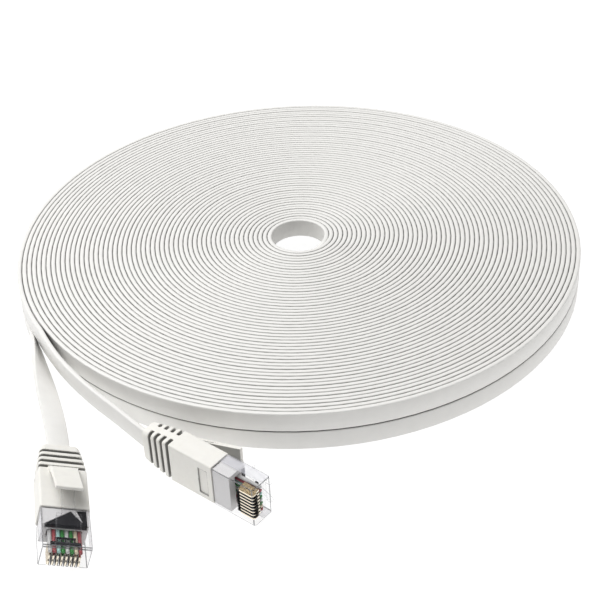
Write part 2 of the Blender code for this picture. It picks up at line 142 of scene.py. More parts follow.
# Boot
BOOT_LENGTH = 23.9 * MM
BOOT_WIDTH = 12.0 * MM
BOOT_THICKNESS = 6.7 * MM
BOOT_REAR_WIDTH = 9.6 * MM
BOOT_REAR_THICKNESS = 5.0 * MM
BOOT_CORNER = 0.5 * MM
BOOT_CORNER_GROWTH = 1.0 * MM
BOOT_CORNER_STEPS = 6
BOOT_VOXEL = 0.15 * MM

# Its taper: a straight share and a round share of the narrowing, and how far the round one goes
BOOT_TAPER_START = -14.0 * MM
BOOT_TAPER_STEPS = 20
TAPER_STRAIGHT = 0.55
TAPER_ROUND = 0.45
TAPER_ROUND_REACH = 0.98

# Its grooves, each a little deeper than the one in front of it. Gains, and the depth below which the
# groove is painted as shade, are in mm.
GROOVE_PLACES = (-14.6 * MM, -16.75 * MM, -18.9 * MM, -21.05 * MM)
GROOVE_WIDTH = 1.02 * MM
GROOVE_DEPTH = 1.5 * MM
GROOVE_DEPTH_GAIN = 0.13
GROOVE_SIDE_DEPTH = 1.3 * MM
GROOVE_SIDE_GAIN = 0.3
GROOVES_BEHIND = -14.0
GROOVE_SHADE_DEPTH = 0.22
GROOVE_CUTTER_REACH = 8.0
SPINE_WIDTH = 1.9 * MM

# Boxes cut from the boot, in mm, and the width of the painted shade line round the recess
SOCKET = ((-8.5, -5.4, 0.6), (1.0, 5.4, 6.1))
CHANNEL = ((-25.0, -3.2, 2.45), (-8.0, 3.2, 4.15))
RECESS = ((-4.35, -3.75, -1.0), (-1.6, 4.2, 0.35))
RECESS_PAINTED_SHADE_LINE = 0.15

# Tongue, in mm: its side outline, then where it narrows and where the painted shade on its underside begins
TONGUE_PROFILE = (
    (-14.5, 6.3), (-11.9, 6.3), (-11.9, 6.95, 0.5), (-11.2, 7.7, 0.8), (-0.7, 11.5, 0.2),
    (-0.5, 12.6, 0.3), (-11.5, 8.9, 1.5), (-13.2, 7.95, 1.2), (-14.5, 6.75, 0.3),
)
TONGUE_HALF_WIDTH = 3.7
TONGUE_NARROWING = 0.135
TONGUE_NARROWS_FROM = -13.5
TONGUE_NARROWS_OVER = 2.5
TONGUE_PAINTED_SHADE_START = -11.4
TONGUE_VOXEL = 0.11 * MM

# Modular plug
PLUG_WIDTH = 11.68 * MM
CONTACT_PITCH = 1.02 * MM
CONTACT_COUNT = 8
CONTACT_THICKNESS = 0.5 * MM
WIRE_DIAMETER = 0.92 * MM
WIRE_START = 2.8 * MM
WIRE_END = 12.4 * MM
WIRE_LEVEL = 3.9 * MM

# Plug body, in mm: its side outline, the spigot joined to it and the rooms cut from it
PLUG_PROFILE = ((0.02, 0.0), (12.9, 0.0), (13.3, 0.5), (13.3, 6.1), (12.9, 6.5), (0.02, 6.5))
SPIGOT = ((-8.2, -5.1, 0.9), (1.0, 5.1, 5.8))
CABLE_ROOM = ((-9.2, -4.35, 1.3), (1.0, 4.35, 5.4))
SLEEVE_ROOM = ((0.1, -5.55, 0.25), (5.6, 5.55, 6.25))
WIRE_ROOM = ((5.45, -4.25, 3.2), (12.6, 4.25, 5.2))
SLOT_START = 7.9
SLOT_END = 14.3
SLOT_HALF_WIDTH = 0.28
SLOT_TOP = 1.7
BLADE_ROOM_END = 12.9
BLADE_ROOM_TOP = 3.4

# Where the plug body's faces change material, in mm
SLOTS_REACH = 3.5
CLOUDED_ABOVE = 3.4
PLAIN_BEHIND = 0.5

# Material places on the plug body, after the plain faces' 0: the rounded edges' painted dark outline,
# the slot walls' painted shade, and the sides
EDGE_FACES = 1
SLOT_FACES = 2
SIDE_FACES = 3

# Latch, blade and comb, in mm
LATCH_PROFILE = (
    (11.7, 6.3), (13.2, 6.3), (13.2, 7.4, 0.8), (12.5, 8.0, 0.8), (4.6, 10.05, 1.5),
    (-2.2, 10.35, 0.3), (-2.2, 9.35, 0.3), (4.4, 9.0, 1.5), (11.7, 6.95, 0.3),
)
LATCH_HALF_WIDTH = 3.0
LATCH_SIDES = (
    ((-4.0, 1.65, 5.0), (5.5, 5.0, 14.0)),
    ((-4.0, -5.0, 5.0), (5.5, -1.65, 14.0)),
)
BLADE_PROFILE = (
    (8.2, 3.0), (8.2, 1.4, 0.4), (8.7, 0.06, 0.5), (13.1, 0.06, 0.9), (13.1, 1.6), (12.7, 1.8),
    (12.7, 3.0),
)
COMB_LOW = 4.55
COMB_HIGH = 5.0
COMB_NARROW_BAR = ((8.5, -2.4, COMB_LOW), (8.85, 2.4, COMB_HIGH))
COMB_WIDE_BAR = ((10.0, -3.6, COMB_LOW), (10.8, 3.6, COMB_HIGH))
RIB_START = 8.6
RIB_END = 10.3
RIB_HALF_WIDTH = 0.1

# Wedge and its pocket in the sleeve, in mm: outlines from above, then levels
WEDGE_OUTLINE = (
    (5.55, -4.85), (5.55, 5.0), (0.35, 5.0), (0.5, 2.75), (4.7, 4.25), (2.2, 2.3), (0.8, 1.4),
)
WEDGE_LEVELS = (5.1, 6.15)
WEDGE_POCKET = (
    (7.0, -4.95), (7.0, 5.1), (0.25, 5.1), (0.4, 2.65), (4.3, 4.02), (2.1, 2.38), (0.7, 1.5), (0.7, 1.3),
    (5.4, -4.95),
)
POCKET_LEVELS = (4.9, 7.9)
SLEEVE_GAP = 0.05
SLEEVE_BORE = ((0.0, -4.2, 2.4), (7.0, 4.2, 4.5))

# Camera, from the coil's centre. Angles are in degrees, lens and sensor in mm.
CAMERA_PLACE = Vector((-0.66, -339.5, 231.1)) * MM
CAMERA_DROP = 35.66
CAMERA_ROLL = -2.70
CAMERA_LENS = 80.28
CAMERA_SENSOR = 36.0

# Studio: name, place, size and power of each softbox, then the surroundings
SOFTBOXES = (
    ("overhead_softbox", (-0.36, 0.2, 0.82), (1.0, 0.9), 11.0),
    ("right_softbox", (0.9, -0.1, 0.16), (0.6, 0.28), 1.2),
)
WORLD_STRENGTH = 0.24
FLOOR_HALF_SIZE = 4.0
FLOOR_GREY = 0.20
FLOOR_GLOW = 0.94


# Mesh helpers


def new_object(name, mesh, matrix=None):
    made = bpy.data.objects.new(name, mesh)
    bpy.context.scene.collection.objects.link(made)
    if matrix is not None:
        made.matrix_world = matrix
    return made


def mesh_from(name, shape):
    mesh = bpy.data.meshes.new(name)
    bmesh.ops.recalc_face_normals(shape, faces=shape.faces)
    shape.to_mesh(mesh)
    shape.free()
    return mesh


def rounded(points, radius, steps=4):
    """A closed outline with each corner replaced by an arc. A point's third number is its own radius."""
    outline = []
    count = len(points)
    for k in range(count):
        corner = Vector(points[k][:2])
        wanted = points[k][2] if len(points[k]) > 2 else radius
        back = Vector(points[k - 1][:2]) - corner
        ahead = Vector(points[(k + 1) % count][:2]) - corner
        half = back.angle(ahead) / 2
        reach = min(wanted / max(math.tan(half), 1e-3), 0.49 * back.length, 0.49 * ahead.length)
        if wanted <= 0.0 or reach < 1e-3 or half > math.radians(88.0):
            outline.append(tuple(corner))
            continue
        start = corner + back.normalized() * reach
        end = corner + ahead.normalized() * reach
        for step in range(steps + 1):
            t = step / steps
            outline.append(tuple((1 - t) ** 2 * start + 2 * t * (1 - t) * corner + t * t * end))
    return outline


def prism(name, outline, low, high, plane="xz"):
    """A plate between two depths. The outline, in mm, lies in the named plane, and so do low and high."""
    shape = bmesh.new()
    flat = []
    for across, along in outline:
        point = {"xz": (across, low, along), "yz": (low, across, along), "xy": (across, along, low)}[plane]
        flat.append(shape.verts.new(Vector(point) * MM))
    face = shape.faces.new(flat)
    deep = bmesh.ops.extrude_face_region(shape, geom=[face])["geom"]
    moved = [item for item in deep if isinstance(item, bmesh.types.BMVert)]
    shift = {"xz": (0, high - low, 0), "yz": (high - low, 0, 0), "xy": (0, 0, high - low)}[plane]
    bmesh.ops.translate(shape, vec=Vector(shift) * MM, verts=moved)
    return mesh_from(name, shape)


def block(name, low, high):
    """A box between two corners in mm."""
    outline = ((low[0], low[2]), (high[0], low[2]), (high[0], high[2]), (low[0], high[2]))
    return prism(name, outline, low[1], high[1])


def rounded_rectangle(half_width, low, high, radius, corner_steps):
    """The points round a rectangle with rounded corners, as pairs of across and up."""
    ring = []
    for across, up, start in (
        (half_width - radius, high - radius, 0.0),
        (radius - half_width, high - radius, 90.0),
        (radius - half_width, low + radius, 180.0),
        (half_width - radius, low + radius, 270.0),
    ):
        for step in range(corner_steps + 1):
            angle = math.radians(start + 90.0 * step / corner_steps)
            ring.append((across + radius * math.cos(angle), up + radius * math.sin(angle)))
    return ring


def loft(name, rings):
    """A closed body through rings of points that all have the same number of points."""
    shape = bmesh.new()
    made = [[shape.verts.new(point) for point in ring] for ring in rings]
    for first, second in zip(made, made[1:]):
        for k in range(len(first)):
            after = (k + 1) % len(first)
            shape.faces.new((first[k], first[after], second[after], second[k]))
    shape.faces.new(list(reversed(made[0])))
    shape.faces.new(made[-1])
    return mesh_from(name, shape)


def baked(thing, name):
    """The mesh that an object's modifiers make; the object is removed."""
    graph = bpy.context.evaluated_depsgraph_get()
    mesh = bpy.data.meshes.new_from_object(thing.evaluated_get(graph))
    bpy.data.objects.remove(thing, do_unlink=True)
    mesh.name = name
    return mesh


def combined(mesh, others, operation="DIFFERENCE"):
    """The mesh after a Boolean with each of the others."""
    holder = new_object(mesh.name, mesh)
    helpers = []
    for other in others:
        helper = new_object(other.name, other)
        step = holder.modifiers.new(other.name, "BOOLEAN")
        step.object = helper
        step.operation = operation
        step.solver = "EXACT"
        helpers.append(helper)
    result = baked(holder, mesh.name)
    for helper in helpers:
        bpy.data.objects.remove(helper, do_unlink=True)
    return result


def softened(mesh, voxel, rounds, keep=1.0):
    """The mesh with all its edges rounded as a soft moulding: remeshed, then smoothed."""
    holder = new_object(mesh.name, mesh)
    remesh = holder.modifiers.new("remesh", "REMESH")
    remesh.mode = "VOXEL"
    remesh.voxel_size = voxel
    smooth = holder.modifiers.new("smooth", "SMOOTH")
    smooth.factor = 0.5
    smooth.iterations = rounds
    if keep < 1.0:
        fewer = holder.modifiers.new("fewer", "DECIMATE")
        fewer.ratio = keep
    result = baked(holder, mesh.name)
    result.shade_smooth()
    return result


def flattened(mesh):
    """The mesh, smooth over its rounded edges, with normals that keep its large faces flat."""
    mesh.shade_smooth()
    mesh.set_sharp_from_angle(angle=math.radians(50.0))
    holder = new_object(mesh.name, mesh)
    weighted = holder.modifiers.new("weighted", "WEIGHTED_NORMAL")
    weighted.mode = "FACE_AREA"
    weighted.weight = 100
    weighted.keep_sharp = True
    return baked(holder, mesh.name)


def bevelled(mesh, width, segments=3, angle=35.0, edge_index=0):
    """The mesh with its sharp edges rounded, and the rounded faces given this material index."""
    holder = new_object(mesh.name, mesh)
    bevel = holder.modifiers.new("bevel", "BEVEL")
    bevel.width = width * MM
    bevel.segments = segments
    bevel.limit_method = "ANGLE"
    bevel.angle_limit = math.radians(angle)
    bevel.use_clamp_overlap = True
    if edge_index:
        for _ in range(edge_index + 1):
            mesh.materials.append(None)
        bevel.material = edge_index
    return flattened(baked(holder, mesh.name))


# Materials

NOISE_LOW = 0.3
NOISE_HIGH = 0.7


def node_material(name):
    made = bpy.data.materials.new(name)
    made.use_nodes = True
    nodes = made.node_tree.nodes
    return made, nodes, made.node_tree.links, nodes["Principled BSDF"]


def noise(nodes, links, scale, detail=4.0, stretch=None, attribute=None):
    """A noise texture in object space, or along a named attribute, and its value from 0 to 1."""
    if attribute:
        source = nodes.new("ShaderNodeAttribute")
        source.attribute_name = attribute
        place = source.outputs["Vector"]
    else:
        place = nodes.new("ShaderNodeTexCoord").outputs["Object"]
    mapping = nodes.new("ShaderNodeMapping")
    mapping.inputs["Scale"].default_value = stretch or (1.0, 1.0, 1.0)
    links.new(place, mapping.inputs["Vector"])
    texture = nodes.new("ShaderNodeTexNoise")
    texture.inputs["Scale"].default_value = scale
    texture.inputs["Detail"].default_value = detail
    links.new(mapping.outputs["Vector"], texture.inputs["Vector"])
    return texture.outputs["Fac"]


def mapped(nodes, links, value, low, high):
    """A number from low to high over the noise's usual range."""
    ranged = nodes.new("ShaderNodeMapRange")
    ranged.inputs["From Min"].default_value = NOISE_LOW
    ranged.inputs["From Max"].default_value = NOISE_HIGH
    ranged.inputs["To Min"].default_value = low
    ranged.inputs["To Max"].default_value = high
    links.new(value, ranged.inputs["Value"])
    return ranged.outputs["Result"]


def tinted(nodes, links, value, first, second):
    """A colour from the first to the second over the noise's usual range."""
    ramp = nodes.new("ShaderNodeValToRGB")
    for element, position, colour in zip(
        ramp.color_ramp.elements, (NOISE_LOW, NOISE_HIGH), (first, second)
    ):
        element.position = position
        element.color = (*colour, 1.0)
    links.new(value, ramp.inputs["Fac"])
    return ramp.outputs["Color"]


def bumped(nodes, links, shader, value, height, strength):
    """A bump that follows the value, with its height in metres."""
    bump = nodes.new("ShaderNodeBump")
    bump.inputs["Distance"].default_value = height
    bump.inputs["Strength"].default_value = strength
    links.new(value, bump.inputs["Height"])
    links.new(bump.outputs["Normal"], shader.inputs["Normal"])


def make_jacket():
    """Satin white PVC, streaked faintly along the cable, with painted shade in the gaps between turns."""
    made, nodes, links, shader = node_material("jacket_pvc")
    streaks = noise(nodes, links, 1.0, 3.0, (4000.0, 12.0, 1.0), "cable_place")
    mottle = noise(nodes, links, 300.0, 4.0)
    painted_shade = nodes.new("ShaderNodeAttribute")
    painted_shade.attribute_name = "painted_shade"
    shade = nodes.new("ShaderNodeMix")
    shade.data_type = "RGBA"
    shade.inputs["B"].default_value = (*PAINTED_SEAM_SHADE_COLOUR, 1.0)
    links.new(painted_shade.outputs["Fac"], shade.inputs["Factor"])
    white = tinted(nodes, links, mottle, (0.80, 0.79, 0.765), (0.83, 0.82, 0.795))
    links.new(white, shade.inputs["A"])
    links.new(shade.outputs["Result"], shader.inputs["Base Color"])
    links.new(mapped(nodes, links, mottle, 0.40, 0.46), shader.inputs["Roughness"])
    bumped(nodes, links, shader, streaks, 0.00001, 0.12)
    shader.inputs["IOR"].default_value = 1.53
    return made


def make_boot_vinyl(name, first, second):
    """Soft vinyl with a fine spark-eroded texture."""
    made, nodes, links, shader = node_material(name)
    mottle = noise(nodes, links, 500.0, 5.0)
    grain = noise(nodes, links, 7000.0, 3.0)
    links.new(tinted(nodes, links, mottle, first, second), shader.inputs["Base Color"])
    links.new(mapped(nodes, links, mottle, 0.46, 0.58), shader.inputs["Roughness"])
    bumped(nodes, links, shader, grain, 0.00002, 0.3)
    shader.inputs["Subsurface Weight"].default_value = 0.04
    shader.inputs["Subsurface Radius"].default_value = (0.9 * MM, 0.8 * MM, 0.6 * MM)
    return made


def varied(name, pattern, colours, roughness, bump):
    """A material whose colour, roughness and bump all follow one noise, and its shader.

    The pattern is the noise's scale and detail, and its stretch if it has one. The bump is a height and
    a strength.
    """
    made, nodes, links, shader = node_material(name)
    value = noise(nodes, links, *pattern)
    links.new(tinted(nodes, links, value, *colours), shader.inputs["Base Color"])
    links.new(mapped(nodes, links, value, *roughness), shader.inputs["Roughness"])
    bumped(nodes, links, shader, value, *bump)
    return made, shader


def make_clear(name, alpha, first, second):
    """Polished clear polycarbonate, as a faint film on each of its faces."""
    made, shader = varied(name, (260.0, 3.0), (first, second), (0.03, 0.08), (0.00002, 0.15))
    shader.inputs["Alpha"].default_value = alpha
    return made


def make_clear_painted_edge_shade(name, alpha):
    """The same plastic along its rounded edges and corners, painted darker to stand in for refraction
    there.
    """
    colours = ((0.05, 0.05, 0.055), (0.30, 0.30, 0.32))
    made, shader = varied(name, (900.0, 3.0), colours, (0.08, 0.16), (0.00001, 0.15))
    shader.inputs["Alpha"].default_value = alpha
    return made


def make_gold(name, first, second):
    """Thin gold plating over a stamped blade."""
    drag = (4000.0, 3.0, (1.0, 8.0, 1.0))
    made, shader = varied(name, drag, (first, second), (0.16, 0.30), (0.000005, 0.3))
    shader.inputs["Metallic"].default_value = 1.0
    return made


def make_insulation(name, colour):
    """Satin conductor insulation with small lengthwise scuffs."""
    scuffs = (1800.0, 4.0, (0.3, 1.0, 1.0))
    darker = tuple(0.82 * part for part in colour)
    made, _ = varied("insulation_" + name, scuffs, (darker, colour), (0.30, 0.48), (0.00001, 0.3))
    return made


def make_pale():
    """Pale satin plastic, barely mottled."""
    colours = ((0.755, 0.745, 0.75), (0.80, 0.79, 0.795))
    made, _ = varied("pale_plastic", (1200.0, 4.0), colours, (0.38, 0.50), (0.00001, 0.3))
    return made


def make_dark(name):
    """Black plastic, barely mottled."""
    colours = ((0.006, 0.006, 0.007), (0.016, 0.016, 0.018))
    made, shader = varied(name, (1500.0, 4.0), colours, (0.42, 0.52), (0.00001, 0.2))
    shader.inputs["Specular IOR Level"].default_value = 0.2
    return made


JACKET = make_jacket()
BOOT_VINYL = make_boot_vinyl("boot_vinyl", (0.805, 0.79, 0.745), (0.84, 0.825, 0.78))
# Painted shade: a darker copy of the boot vinyl for the tongue's underside
TONGUE_PAINTED_SHADE = make_boot_vinyl("boot_vinyl_painted_shade_under", (0.36, 0.355, 0.34), (0.40, 0.395, 0.38))
# Painted shade: a darker copy of the boot vinyl for the grooves and the recess's edge
BOOT_PAINTED_SHADE = make_boot_vinyl("boot_vinyl_painted_shade", (0.27, 0.265, 0.25), (0.32, 0.315, 0.30))
CLEAR = make_clear("clear_polycarbonate", 0.045, (0.10, 0.10, 0.12), (0.20, 0.20, 0.22))
CLEAR_LATCH = make_clear("clear_latch_polycarbonate", 0.035, (0.10, 0.10, 0.12), (0.20, 0.20, 0.22))
CLEAR_SIDE = make_clear("clear_side_polycarbonate", 0.4, (0.64, 0.64, 0.70), (0.73, 0.73, 0.79))
# Painted dark outlines on the rounded edges of the clear plastic, standing in for refraction
CLEAR_PAINTED_EDGE_SHADE = make_clear_painted_edge_shade("clear_painted_edge_shade", 0.75)
CLEAR_LATCH_PAINTED_EDGE_SHADE = make_clear_painted_edge_shade("clear_latch_painted_edge_shade", 0.3)
# Painted shade: black on the walls of the contact slots, where they lie in shadow
CLEAR_SLOT_PAINTED_SHADE = make_dark("clear_slot_painted_shade")
GOLD = make_gold("gold_plating", (0.86, 0.77, 0.62), (0.94, 0.87, 0.74))
# Painted shade: a darker copy of the gold for the blades' broad faces
GOLD_PAINTED_SHADE = make_gold("gold_plating_painted_shade", (0.42, 0.32, 0.18), (0.60, 0.47, 0.29))
DARK = make_dark("dark_plastic")
PALE = make_pale()
INSULATION = {
    name: make_insulation(name, colour)
    for name, colour in (
        ("grey", (0.70, 0.70, 0.69)),
        ("red_brown", (0.40, 0.07, 0.08)),
        ("teal", (0.45, 0.74, 0.68)),
        ("green", (0.02, 0.26, 0.03)),
        ("beige", (0.78, 0.68, 0.50)),
    )
}
WIRE_ORDER = ("grey", "red_brown", "teal", "green", "grey", "green", "beige", "red_brown")


# Cable


def polar(radius, degrees, height, lean=ON_EDGE):
    """A row of a route, from its radius and angle about the coil's centre."""
    angle = math.radians(degrees)
    return radius * math.cos(angle), radius * math.sin(angle), height, lean


def smooth_route(points, spacing):
    """A Catmull-Rom curve through rows of x, y, z and lean, read about every spacing along it."""
    rows = [points[0], *points, points[-1]]
    route = []
    for k in range(1, len(rows) - 2):
        before, start, end, after = rows[k - 1:k + 3]
        count = max(1, round(math.dist(start[:3], end[:3]) / spacing))
        for step in range(count):
            t = step / count
            route.append(tuple(
                0.5 * (2 * b + (c - a) * t + (2 * a - 5 * b + 4 * c - d) * t * t
                       + (3 * b - a - 3 * c + d) * t ** 3)
                for a, b, c, d in zip(before, start, end, after)
            ))
    route.append(tuple(points[-1]))
    return route


def eased(part):
    """A smooth step from 0 to 1."""
    part = min(max(part, 0.0), 1.0)
    return part * part * (3.0 - 2.0 * part)


def winding(leaves, turns, height):
    """One layer from its inner end out to where its tail leaves, in steps that keep a chord's sag small."""
    route = []
    degrees = leaves - 360.0 * turns
    while degrees < leaves:
        radius = OUTER_TURN - TURN_PITCH * (leaves - degrees) / 360.0
        radius += TAIL_SWELL * eased(1.0 - (leaves - degrees) / SWELL_ANGLE)
        ripple = sum(math.sin(math.radians(degrees * rate)) for rate in RIPPLE_RATES)
        route.append(polar(radius, degrees, height + RIPPLE * ripple))
        degrees += 2.0 * math.degrees(math.acos(1.0 - CHORD_SAG / radius))
    return route


def fold():
    """From the lower layer's inner end through a hairpin, then up the inside of the hole to the upper's."""
    inner_end = TAIL_A_LEAVES - 360.0 * LOWER_TURNS
    lower_radius = OUTER_TURN - TURN_PITCH * LOWER_TURNS
    start = (inner_end + 180.0) % 360.0 - 180.0
    route = []
    for step in range(1, FOLD_APPROACH_STEPS):
        part = step / FOLD_APPROACH_STEPS
        radius = lower_radius + (FOLD_OUTER_RADIUS - lower_radius) * eased(part * FOLD_SETTLING)
        route.append(polar(radius, start + (FOLD_TURN - start) * part, LOWER_MIDDLE))
    bend_radius = (FOLD_OUTER_RADIUS - FOLD_INNER_RADIUS) / 2
    middle = polar(FOLD_INNER_RADIUS + bend_radius, FOLD_TURN, LOWER_MIDDLE)
    for step in range(FOLD_BEND_STEPS + 1):
        x, y, _, _ = polar(bend_radius, FOLD_TURN - 180.0 * step / FOLD_BEND_STEPS, 0.0)
        route.append((middle[0] + x, middle[1] + y, LOWER_MIDDLE, ON_EDGE))
    end_radius = OUTER_TURN - TURN_PITCH * UPPER_TURNS
    for step in range(1, FOLD_CLIMB_STEPS):
        part = step / FOLD_CLIMB_STEPS
        height = LOWER_MIDDLE + (UPPER_MIDDLE - LOWER_MIDDLE) * eased(part)
        radius = FOLD_INNER_RADIUS + (end_radius - FOLD_INNER_RADIUS) * part
        route.append(polar(radius, FOLD_TURN + (FOLD_START - FOLD_TURN) * part, height))
    return route


def cable_route():
    """Rows of x, y, z and lean from inside plug A to inside plug B, about the coil's centre."""
    swollen = OUTER_TURN + TAIL_SWELL
    tail_a = [polar(swollen, TAIL_A_LEAVES, LOWER_MIDDLE)]
    tail_a += [polar(swollen + out, angle, height, lean) for out, angle, height, lean in TAIL_A_LIFT]
    tail_a += [(x * MM, y * MM, z * MM, lean) for x, y, z, lean in TAIL_A_ROUTE]
    tail_b = [polar(swollen, TAIL_B_LEAVES, UPPER_MIDDLE)]
    tail_b += [(x * MM, y * MM, z * MM, lean) for x, y, z, lean in TAIL_B_ROUTE]
    lower = winding(TAIL_A_LEAVES, LOWER_TURNS, LOWER_MIDDLE)
    upper = winding(TAIL_B_LEAVES, UPPER_TURNS, UPPER_MIDDLE)
    outwards_a = smooth_route(tail_a, ROUTE_STEP)
    # A lean is an angle from the left of travel, and tail A is travelled towards the coil here.
    inwards = [(x, y, z, 180.0 - lean) for x, y, z, lean in reversed(lower + outwards_a)]
    return inwards + fold() + upper + smooth_route(tail_b, ROUTE_STEP)


def cable_section():
    """The flat cable's outline, as pairs of distance across its thickness and along its width."""
    half_width = CABLE_WIDTH / 2
    return np.array(
        rounded_rectangle(CABLE_THICKNESS / 2, -half_width, half_width, EDGE_RADIUS, EDGE_STEPS)
    )


def tail_gap(route, upper):
    """For each row, the angle past its layer's tail, and the painted shade in the tail's gap, from 1 to 0.
    """
    leaves = np.where(upper, TAIL_B_LEAVES, TAIL_A_LEAVES)
    past = np.degrees(np.arctan2(route[:, 1], route[:, 0])) - leaves
    return past, np.where(past > 0.0, np.clip(1.0 - past / PAINTED_GAP_SHADE_ANGLE, 0.0, 1.0), 0.0)


def painted_seam_shade(route, section):
    """Painted shade at each point, from 1 on a broad face that lies against another turn to 0 in the open.
    """
    radius = np.linalg.norm(route[:, :2], axis=1)
    upper = route[:, 2] > (LOWER_MIDDLE + UPPER_MIDDLE) / 2
    hole = np.where(upper, UPPER_HOLE, LOWER_HOLE)
    upright = np.abs(route[:, 3] - ON_EDGE) < 0.5
    wound = upright & (radius > hole)
    # Painted shade in the gap behind a tail, fading as the tail draws away
    past, gap = tail_gap(route, upper)
    under_last_turn = OUTER_TURN - 1.1 * TURN_PITCH
    beside_tail = OUTER_TURN - 0.5 * TURN_PITCH
    covered_outside = wound * np.where(
        radius < under_last_turn, 1.0, np.where(radius < beside_tail, gap, 0.0)
    )
    covered_inside = (wound & (radius > hole + TURN_PITCH)) * np.where(
        (radius < OUTER_TURN) | (past <= 0.0), 1.0, gap
    )
    # Painted shade on the wall of the upper layer's hole
    hole_wall = upper & (radius < UPPER_HOLE + TURN_PITCH)
    inwards = np.maximum(covered_inside, hole_wall * PAINTED_HOLE_SHADE)
    # The lower layer is travelled inwards and the upper one outwards, which swaps the section's sides.
    outwards = (section[None, :, 0] > 0) != upper[:, None]
    against = np.where(outwards, covered_outside[:, None], inwards[:, None])
    reach = np.abs(section[:, 0]) / (CABLE_THICKNESS / 2)
    on_broad_face = reach > BROAD_FACE
    at_corner = reach > CORNER_MIDDLE
    painted_shade = against * np.where(on_broad_face, 1.0, np.where(at_corner, PAINTED_SEAM_CORNER_SHADE, 0.0))[None, :]
    # The narrow edges that face the other layer get the same painted shade, as far as their corners'
    # middles.
    stacked = wound & (radius < OUTER_TURN + 2.0 * TURN_PITCH)
    towards_other = (section[None, :, 1] < 0) == upper[:, None]
    narrow = np.abs(section[None, :, 1]) > CABLE_WIDTH / 2 - EDGE_RADIUS
    edge = np.where(on_broad_face, 0.0, np.where(at_corner, PAINTED_LAYER_CORNER_SHADE, 1.0))
    between_layers = (stacked[:, None] & towards_other & narrow) * edge[None, :]
    return np.maximum(painted_shade, between_layers).astype(np.float32)


def make_cable():
    """The whole cable as one swept mesh, and its real length, which it prints and gives back."""
    route = np.array(cable_route())
    points = route[:, :3] + np.array(COIL_CENTRE)
    travel = np.gradient(points, axis=0)
    travel /= np.linalg.norm(travel, axis=1, keepdims=True)
    left = np.cross([0.0, 0.0, 1.0], travel)
    left /= np.linalg.norm(left, axis=1, keepdims=True)
    above = np.cross(travel, left)
    lean = np.radians(route[:, 3:4])
    broad = np.cos(lean) * left + np.sin(lean) * above
    thin = np.cross(broad, travel)
    section = cable_section()
    rings = (
        points[:, None, :]
        + thin[:, None, :] * section[None, :, 0:1]
        + broad[:, None, :] * section[None, :, 1:2]
    )
    steps, size = rings.shape[:2]
    first = np.arange(steps - 1)[:, None] * size
    here = np.arange(size)[None, :]
    after = (here + 1) % size
    quads = np.stack((first + here, first + after, first + size + after, first + size + here), axis=-1)
    caps = [list(range(size))[::-1], list(range((steps - 1) * size, steps * size))]
    mesh = bpy.data.meshes.new("flat_cable")
    mesh.from_pydata(rings.reshape(-1, 3).tolist(), [], quads.reshape(-1, 4).tolist() + caps)
    mesh.update()
    run = np.concatenate(([0.0], np.cumsum(np.linalg.norm(np.diff(points, axis=0), axis=1))))
    place = np.zeros((steps, size, 3))
    place[:, :, 0] = section[:, 1]
    place[:, :, 1] = run[:, None]
    place[:, :, 2] = section[:, 0]
    attribute = mesh.attributes.new("cable_place", "FLOAT_VECTOR", "POINT")
    attribute.data.foreach_set("vector", place.reshape(-1))
    # Painted shade at the seams between turns and layers, read by the jacket's colour
    painted_shade = mesh.attributes.new("painted_shade", "FLOAT", "POINT")
    painted_shade.data.foreach_set("value", painted_seam_shade(route, section).reshape(-1))
    mesh.shade_smooth()
    mesh.materials.append(JACKET)
    cable = new_object("flat_cable", mesh)
    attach(cable, "root")
    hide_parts("coil_upper_layer", "coil_lower_layer", "coil_centre_fold", "tail_a", "tail_b")
    print("cable length", round(float(run[-1]), 3), "m, rings", steps)
    return cable, points, float(run[-1])


# Boot


def boot_ring(x, width, low, high, radius):
    """The boot's outline across itself at one place along it."""
    ring = rounded_rectangle(width / 2, low, high, radius, BOOT_CORNER_STEPS)
    return [(x, y, z) for y, z in ring]


def boot_shell():
    """The straight front, and the rear that narrows and rounds off."""
    rings = [
        boot_ring(x, BOOT_WIDTH, 0.0, BOOT_THICKNESS, BOOT_CORNER) for x in (0.0, BOOT_TAPER_START)
    ]
    run = BOOT_LENGTH + BOOT_TAPER_START
    for step in range(1, BOOT_TAPER_STEPS + 1):
        part = step / BOOT_TAPER_STEPS
        roundness = 1.0 - math.sqrt(1.0 - (TAPER_ROUND_REACH * part) ** 2)
        narrowing = TAPER_STRAIGHT * part + TAPER_ROUND * roundness
        width = BOOT_WIDTH - (BOOT_WIDTH - BOOT_REAR_WIDTH) * narrowing
        thickness = BOOT_THICKNESS - (BOOT_THICKNESS - BOOT_REAR_THICKNESS) * narrowing
        low = (BOOT_THICKNESS - thickness) / 2
        radius = BOOT_CORNER + BOOT_CORNER_GROWTH * part
        rings.append(boot_ring(BOOT_TAPER_START - run * part, width, low, low + thickness, radius))
    return loft("boot", rings)


def groove_cutters():
    """Each groove from both broad faces, wrapped onto the narrow sides up to the spine."""
    reach = GROOVE_CUTTER_REACH
    cutters = []
    for rank, place in enumerate(GROOVE_PLACES):
        depth = GROOVE_DEPTH / MM + GROOVE_DEPTH_GAIN * rank
        side = (BOOT_WIDTH / 2 - GROOVE_SIDE_DEPTH) / MM - GROOVE_SIDE_GAIN * rank
        spine = (BOOT_THICKNESS - SPINE_WIDTH) / 2 / MM
        outline = (
            (-reach, -reach), (reach, -reach), (reach, spine), (side, spine),
            (side, depth), (-side, depth), (-side, spine), (-reach, spine),
        )
        start = place / MM - GROOVE_WIDTH / MM / 2
        end = place / MM + GROOVE_WIDTH / MM / 2
        other = [(y, BOOT_THICKNESS / MM - z) for y, z in outline]
        cutters.append(prism("groove_low", outline, start, end, "yz"))
        cutters.append(prism("groove_high", other, start, end, "yz"))
    return cutters


